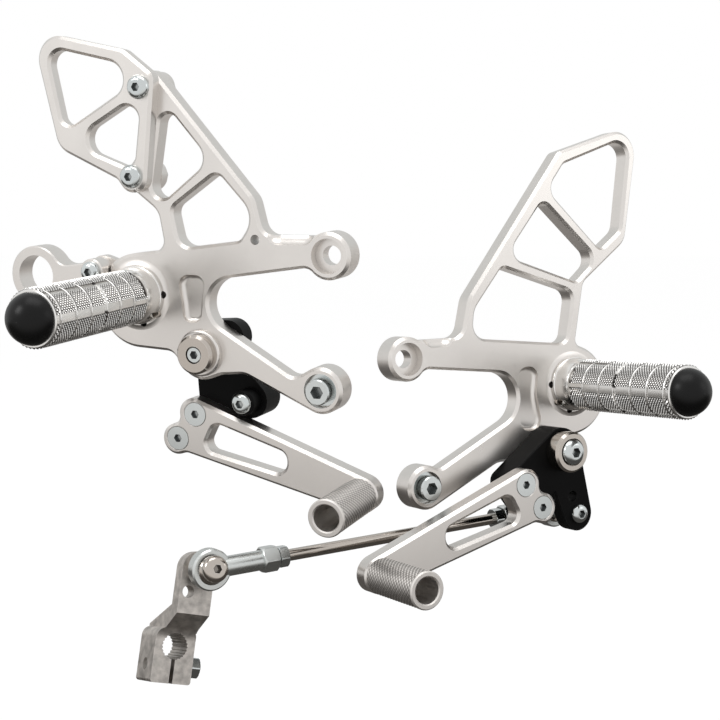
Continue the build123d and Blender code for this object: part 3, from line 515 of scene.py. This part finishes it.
def edge_group():
    """Rubbed edges: 1 where the surface turns within a width, broken up by noise."""
    group, given, out = node_group("rubbed_edges", [("Width", 0.0005), ("Scale", 700.0)], ["Mask"])
    place = wire(group, "ShaderNodeTexCoord").outputs["Object"]
    round_off = wire(group, "ShaderNodeBevel", links={"Radius": given.outputs["Width"]}, samples=4)
    flat = wire(group, "ShaderNodeNewGeometry")
    turn = wire(group, "ShaderNodeVectorMath",
                links={0: round_off.outputs["Normal"], 1: flat.outputs["Normal"]}, operation="DOT_PRODUCT")
    mask = wire(group, "ShaderNodeMapRange",
                {"From Min": 0.995, "From Max": 0.9, "To Min": 0.0, "To Max": 1.0},
                {"Value": turn.outputs["Value"]})
    noise = wire(group, "ShaderNodeTexNoise", {"Detail": 2.0},
                 {"Vector": place, "Scale": given.outputs["Scale"]})
    broken = wire(group, "ShaderNodeMapRange", {"From Min": 0.3, "From Max": 0.6},
                  {"Value": noise.outputs["Fac"]})
    both = wire(group, "ShaderNodeMath", links={0: mask.outputs["Result"], 1: broken.outputs["Result"]},
                operation="MULTIPLY")
    group.links.new(both.outputs["Value"], out.inputs["Mask"])
    return group


def scratch_group():
    """Long fine marks from a lathe: a height that changes quickly along a piece's upright."""
    group, given, out = node_group("tool_marks", [("Across", 1800.0), ("Along", 60.0)], ["Height"])
    place = wire(group, "ShaderNodeTexCoord").outputs["Object"]
    stretch = wire(group, "ShaderNodeCombineXYZ",
                   links={"X": given.outputs["Along"], "Y": given.outputs["Along"],
                          "Z": given.outputs["Across"]})
    scaled = wire(group, "ShaderNodeVectorMath", links={0: place, 1: stretch.outputs["Vector"]},
                  operation="MULTIPLY")
    marks = wire(group, "ShaderNodeTexNoise", {"Scale": 1.0, "Detail": 2.0},
                 {"Vector": scaled.outputs["Vector"]})
    group.links.new(marks.outputs["Fac"], out.inputs["Height"])
    return group


def painted_recess_shade_group():
    """Painted shade in deep places: 1 in a socket or a small hole, where the piece shuts itself in and
    shade falls.
    """
    group, given, out = node_group("painted_recess_shade_mask", [("Reach", 0.006), ("Open", 0.75), ("Shut", 0.35)],
                                   ["Mask"])
    shut = wire(group, "ShaderNodeAmbientOcclusion", links={"Distance": given.outputs["Reach"]},
                samples=6, only_local=True)
    mask = wire(group, "ShaderNodeMapRange",
                links={"Value": shut.outputs["AO"], "From Min": given.outputs["Open"],
                       "From Max": given.outputs["Shut"]}, interpolation_type="SMOOTHSTEP")
    group.links.new(mask.outputs["Result"], out.inputs["Mask"])
    return group


def painted_valley_shade_group():
    """Painted shade in knurl bottoms: 1 where the piece's own mask says that its knurl is deep."""
    group, given, out = node_group("painted_knurl_valley_shade", [("From", 0.3), ("To", 0.85)], ["Mask"])
    sunk = wire(group, "ShaderNodeAttribute", attribute_name="painted_valley_shade")
    mask = wire(group, "ShaderNodeMapRange",
                links={"Value": sunk.outputs["Fac"], "From Min": given.outputs["From"],
                       "From Max": given.outputs["To"]}, interpolation_type="SMOOTHSTEP")
    group.links.new(mask.outputs["Result"], out.inputs["Mask"])
    return group


def metal(name, colour, groups, tint=0.06, edge=0.25, rough=(0.3, 0.42), bump=0.1, depth=0.00003,
          metallic=1.0, specular=0.5, grain=2600.0, cloud=45.0, width=0.0005, marks=0.0, painted_valley_shade=None,
          recess=0.0, shut_in=(0.75, 0.35)):
    """A metal or plastic with clouded colour, blasted grain, uneven gloss and rubbed edges.

    The valley colour is painted shade at the bottom of a knurl and in its slots. The recess reach is how
    far a deep place looks for walls before its colour is darkened as painted shade, and shut_in is how open
    the place is where this painted shade starts and where it is full.
    """
    material, tree, out = new_material(name)
    shader = wire(tree, "ShaderNodeBsdfPrincipled",
                  {"Metallic": metallic, "Specular IOR Level": specular})
    tree.links.new(shader.outputs["BSDF"], out.inputs["Surface"])
    blast = wire(tree, "ShaderNodeGroup", node_tree=groups["grain"])
    blast.inputs["Scale"].default_value = grain
    blast.inputs["Cloud scale"].default_value = cloud
    rub = wire(tree, "ShaderNodeGroup", node_tree=groups["edge"])
    rub.inputs["Width"].default_value = width
    dark = tuple(c * (1 - tint) for c in colour)
    light = tuple(min(1, c * (1 + tint)) for c in colour)
    rubbed = tuple(min(1, c + (1 - c) * edge) for c in colour)
    ramp = wire(tree, "ShaderNodeMapRange", {"From Min": 0.3, "From Max": 0.7},
                {"Value": blast.outputs["Cloud"]})
    base = mix_colours(tree, ramp.outputs["Result"], dark, light)
    base = mix_colours(tree, rub.outputs["Mask"], base, rubbed)
    # Painted shade: the colour of the knurl's bottoms and slots
    if painted_valley_shade:
        sunk = wire(tree, "ShaderNodeGroup", node_tree=groups["painted_valley_shade"])
        base = mix_colours(tree, sunk.outputs["Mask"], base, painted_valley_shade)
    # Painted shade: darkens the colour in sockets and small holes where the piece shuts out the light
    if recess:
        deep = wire(tree, "ShaderNodeGroup", node_tree=groups["recess"])
        for label, value in zip(("Reach", "Open", "Shut"), (recess,) + shut_in):
            deep.inputs[label].default_value = value
        base = mix_colours(tree, deep.outputs["Mask"], base, tuple(c * PAINTED_RECESS_DARKNESS for c in colour))
    tree.links.new(base, shader.inputs["Base Color"])
    gloss = wire(tree, "ShaderNodeMapRange",
                 {"From Min": 0.25, "From Max": 0.75, "To Min": rough[0], "To Max": rough[1]},
                 {"Value": blast.outputs["Cloud"]})
    tree.links.new(gloss.outputs["Result"], shader.inputs["Roughness"])
    height = blast.outputs["Height"]
    if marks:
        lathe = wire(tree, "ShaderNodeGroup", node_tree=groups["marks"])
        mixed = wire(tree, "ShaderNodeMix", {MIX_SHARE: marks},
                     {HEIGHT_FIRST: height, HEIGHT_SECOND: lathe.outputs["Height"]}, data_type="FLOAT")
        height = mixed.outputs[HEIGHT_RESULT]
    relief = wire(tree, "ShaderNodeBump", {"Strength": bump, "Distance": depth}, {"Height": height})
    tree.links.new(relief.outputs["Normal"], shader.inputs["Normal"])
    return material


class FOOTREST_OT_finishes(bpy.types.Operator):
    """Gives each piece the finish of its material slot"""
    bl_idname = "footrest.finishes"
    bl_label = "Finishes"

    def execute(self, context):
        tint = context.scene.footrest_finishes
        groups = {"grain": grain_group(), "edge": edge_group(), "marks": scratch_group(),
                  "recess": painted_recess_shade_group(), "painted_valley_shade": painted_valley_shade_group()}
        made = {
            "satin_aluminium": metal("satin_plate", tuple(tint.plate), groups, tint=0.03, edge=0.25,
                                     rough=(0.27, 0.32), bump=0.1, recess=0.006, shut_in=(0.45, 0.2)),
            "bright_aluminium": metal("bright_knurl", tuple(tint.peg), groups, tint=0.04, edge=0.4,
                                      rough=(0.2, 0.27), bump=0.05, width=0.0002,
                                      painted_valley_shade=(0.08, 0.075, 0.07)),
            "toe_knurl": metal("toe_knurl", tuple(tint.plate), groups, tint=0.03, edge=0.4,
                               rough=(0.42, 0.5), bump=0.05, width=0.0002, painted_valley_shade=(0.3, 0.285, 0.27)),
            "black_plastic": metal("cap_plastic", tuple(tint.cap), groups, tint=0.2, edge=0.004,
                                   rough=(0.3, 0.36), bump=0.05, metallic=0.0, specular=0.2, grain=1500.0),
            "black_anodised": metal("crank_black", tuple(tint.crank), groups, tint=0.2, edge=0.02,
                                    rough=(0.36, 0.46), bump=0.1, metallic=0.0, specular=0.07),
            "polished_steel": metal("polished_pin", tuple(tint.pin), groups, tint=0.04, edge=0.3,
                                    rough=(0.1, 0.16), bump=0.03, marks=0.6, recess=0.006),
            "bronze": metal("bush_bronze", tuple(tint.bush), groups, tint=0.1, edge=0.2,
                            rough=(0.35, 0.5), bump=0.1),
            "raw_steel": metal("clamp_raw", tuple(tint.clamp), groups, tint=0.3, edge=0.3,
                               rough=(0.42, 0.58), bump=0.35, cloud=240.0, grain=1400.0),
            "zinc_steel": metal("screw_zinc", tuple(tint.screw), groups, tint=0.06, edge=0.3,
                                rough=(0.13, 0.19), bump=0.04, recess=0.006),
            "rod_end": metal("rod_end_zinc", tuple(tint.rod_end), groups, tint=0.05, edge=0.2,
                             rough=(0.24, 0.32), bump=0.06),
        }
        own = {"crank_rod_end": "rod_end", "clamp_rod_end": "rod_end", "brake_peg_dowel": "polished_steel",
               "shift_peg_dowel": "polished_steel"}
        for name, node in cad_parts.items():
            slot = own.get(name, node.material_slots[0].material.name.split(".")[0])
            if slot not in made:
                raise RuntimeError(f"{name} has no finish for {slot}")
            node.data.materials.clear()
            node.data.materials.append(made[slot])
        own.update({"brake_toe_peg_knurled": "toe_knurl", "shift_toe_peg_knurled": "toe_knurl"})
        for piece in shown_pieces():
            if "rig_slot" in piece:
                piece.data.materials.clear()
                piece.data.materials.append(made[own.get(piece.name, piece["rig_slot"])])
        return {"FINISHED"}


def lamp(name, place, aim, power, size):
    """A soft square lamp at a place, turned to its aim."""
    light = bpy.data.lights.new(name, "AREA")
    light.shape, light.energy = "RECTANGLE", power
    light.size, light.size_y = size
    obj = bpy.data.objects.new(name, light)
    bpy.context.scene.collection.objects.link(obj)
    obj.location = place
    obj.rotation_euler = (Vector(aim) - Vector(place)).to_track_quat("-Z", "Y").to_euler()


def seen_rays(tree):
    """1 for the rays that a viewer sees, straight, mirrored or through glass."""
    path = wire(tree, "ShaderNodeLightPath")
    seen = wire(tree, "ShaderNodeMath", links={0: path.outputs["Is Camera Ray"],
                                               1: path.outputs["Is Glossy Ray"]}, operation="MAXIMUM")
    seen = wire(tree, "ShaderNodeMath", links={0: seen.outputs["Value"],
                                               1: path.outputs["Is Transmission Ray"]}, operation="MAXIMUM")
    return seen.outputs["Value"]


def painted_reflection_card(name, place, size, turn, axis, span, colours):
    """A glowing sheet that only reflections see: a painted reflection, shaded from one colour to another
    along an axis.
    """
    bpy.ops.object.select_all(action="DESELECT")
    bpy.ops.mesh.primitive_plane_add(size=1, location=place, rotation=turn)
    obj = bpy.context.object
    obj.name = obj.data.name = name
    obj.scale = (size[0], size[1], 1)
    bpy.ops.object.transform_apply(location=True, rotation=True, scale=True)
    obj.visible_camera = obj.visible_diffuse = obj.visible_transmission = obj.visible_shadow = False
    material, tree, out = new_material(name)
    split = wire(tree, "ShaderNodeSeparateXYZ",
                 links={"Vector": wire(tree, "ShaderNodeTexCoord").outputs["Object"]})
    ramp = wire(tree, "ShaderNodeMapRange", {"From Min": span[0], "From Max": span[1]},
                {"Value": split.outputs[axis]}, interpolation_type="SMOOTHSTEP")
    shade = mix_colours(tree, ramp.outputs["Result"], *colours)
    glow = wire(tree, "ShaderNodeEmission", {"Strength": 1.0}, {"Color": shade})
    tree.links.new(glow.outputs["Emission"], out.inputs["Surface"])
    obj.data.materials.append(material)
    obj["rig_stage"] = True


class FOOTREST_OT_stage(bpy.types.Operator):
    """Sets the floor, the even light, the lamps and the camera"""
    bl_idname = "footrest.stage"
    bl_label = "Stage"

    def execute(self, context):
        sizes = context.scene.footrest_stage
        scene = context.scene
        low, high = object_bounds()
        middle = (low + high) / 2
        ground = low.z - sizes.drop
        bpy.ops.object.select_all(action="DESELECT")
        bpy.ops.mesh.primitive_plane_add(size=12, location=(middle.x, middle.y, ground))
        floor = context.object
        floor.name = "floor"
        bpy.ops.object.transform_apply(location=True, rotation=True, scale=True)
        floor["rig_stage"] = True
        paper, tree, out = new_material("white_paper")
        place = wire(tree, "ShaderNodeTexCoord").outputs["Object"]
        fibre = wire(tree, "ShaderNodeTexNoise", {"Scale": 300.0, "Detail": 2.0}, {"Vector": place})
        tone = wire(tree, "ShaderNodeMapRange", {"To Min": 0.9, "To Max": 0.94},
                    {"Value": fibre.outputs["Fac"]})
        matt = wire(tree, "ShaderNodeBsdfDiffuse", links={"Color": tone.outputs["Result"]})
        glow = wire(tree, "ShaderNodeEmission", {"Color": (1, 1, 1, 1), "Strength": FLOOR_GLOW})
        share = wire(tree, "ShaderNodeMath", {1: FLOOR_SHARE}, {0: seen_rays(tree)}, operation="MULTIPLY")
        mix = wire(tree, "ShaderNodeMixShader", links={0: share.outputs["Value"]})
        tree.links.new(matt.outputs["BSDF"], mix.inputs[1])
        tree.links.new(glow.outputs["Emission"], mix.inputs[2])
        tree.links.new(mix.outputs["Shader"], out.inputs["Surface"])
        floor.data.materials.append(paper)
        flat, upright = (0, 0, 0), (math.radians(90), 0, 0)
        # Painted reflections: white in front of the set, dark under it so that undersides look shaded, grey
        # behind
        painted_reflection_card("painted_ground_reflection", (middle.x, -0.25, ground + MM), (3.2, 1.1), flat,
             "Y", (-0.45, -0.1), (PAINTED_REFLECTION_FRONT, PAINTED_REFLECTION_UNDER))
        painted_reflection_card("painted_far_reflection", (middle.x, 0.7, ground + MM), (3.2, 0.8), flat,
             "Y", (0.28, 0.5), (PAINTED_REFLECTION_UNDER, PAINTED_REFLECTION_FAR))
        painted_reflection_card("painted_back_reflection", (middle.x, 1.1, ground + 0.75), (3.6, 1.5), upright,
             "Z", (-0.3, 0.6), (PAINTED_REFLECTION_BACK_LOW, PAINTED_REFLECTION_BACK_HIGH))

        world = bpy.data.worlds.new("even_light")
        scene.world = world
        world.use_nodes = True
        tree = world.node_tree
        tree.nodes.clear()
        out = tree.nodes.new("ShaderNodeOutputWorld")
        level = wire(tree, "ShaderNodeMapRange", {"To Min": sizes.sky, "To Max": 1.0},
                     {"Value": seen_rays(tree)})
        sky = wire(tree, "ShaderNodeBackground", {"Color": (1, 1, 1, 1)},
                   {"Strength": level.outputs["Result"]})
        tree.links.new(sky.outputs["Background"], out.inputs["Surface"])

        lamp("key_lamp", KEY_AT, middle, sizes.key, SIDE_LAMP)
        lamp("fill_lamp", FILL_AT, middle, sizes.fill, SIDE_LAMP)
        lamp("top_lamp", TOP_AT, middle, sizes.top, TOP_LAMP)

        view = bpy.data.cameras.new("photo_view")
        view.lens, view.sensor_width = sizes.lens, 36.0
        view.clip_start, view.clip_end = 0.01, 50.0
        camera = bpy.data.objects.new("photo_view", view)
        scene.collection.objects.link(camera)
        camera.location = CAMERA_AT
        camera.rotation_euler = Vector(CAMERA_LOOK).to_track_quat("-Z", "Y").to_euler()
        scene.camera = camera
        scene.view_settings.view_transform = "Standard"
        return {"FINISHED"}


class FOOTREST_PT_panel(bpy.types.Panel):
    """Lists the steps that dress the footrest"""
    bl_idname = "FOOTREST_PT_panel"
    bl_label = "Footrest"
    bl_space_type = "VIEW_3D"
    bl_region_type = "UI"
    bl_category = "Footrest"

    def draw(self, context):
        for step in (FOOTREST_OT_foot_pegs, FOOTREST_OT_toe_pegs, FOOTREST_OT_finishes, FOOTREST_OT_stage):
            self.layout.operator(step.bl_idname)


CLASSES = (PegSizes, Finishes, StageSizes, FOOTREST_OT_foot_pegs, FOOTREST_OT_toe_pegs,
           FOOTREST_OT_finishes, FOOTREST_OT_stage, FOOTREST_PT_panel)


def register():
    for each in CLASSES:
        bpy.utils.register_class(each)
    bpy.types.Scene.footrest_pegs = PointerProperty(type=PegSizes)
    bpy.types.Scene.footrest_finishes = PointerProperty(type=Finishes)
    bpy.types.Scene.footrest_stage = PointerProperty(type=StageSizes)


def unregister():
    del bpy.types.Scene.footrest_stage
    del bpy.types.Scene.footrest_finishes
    del bpy.types.Scene.footrest_pegs
    for each in reversed(CLASSES):
        bpy.utils.unregister_class(each)


def main():
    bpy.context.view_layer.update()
    register()
    bpy.ops.footrest.foot_pegs()
    bpy.ops.footrest.toe_pegs()
    bpy.ops.footrest.finishes()
    bpy.ops.footrest.stage()


if __name__ == "__main__":
    main()
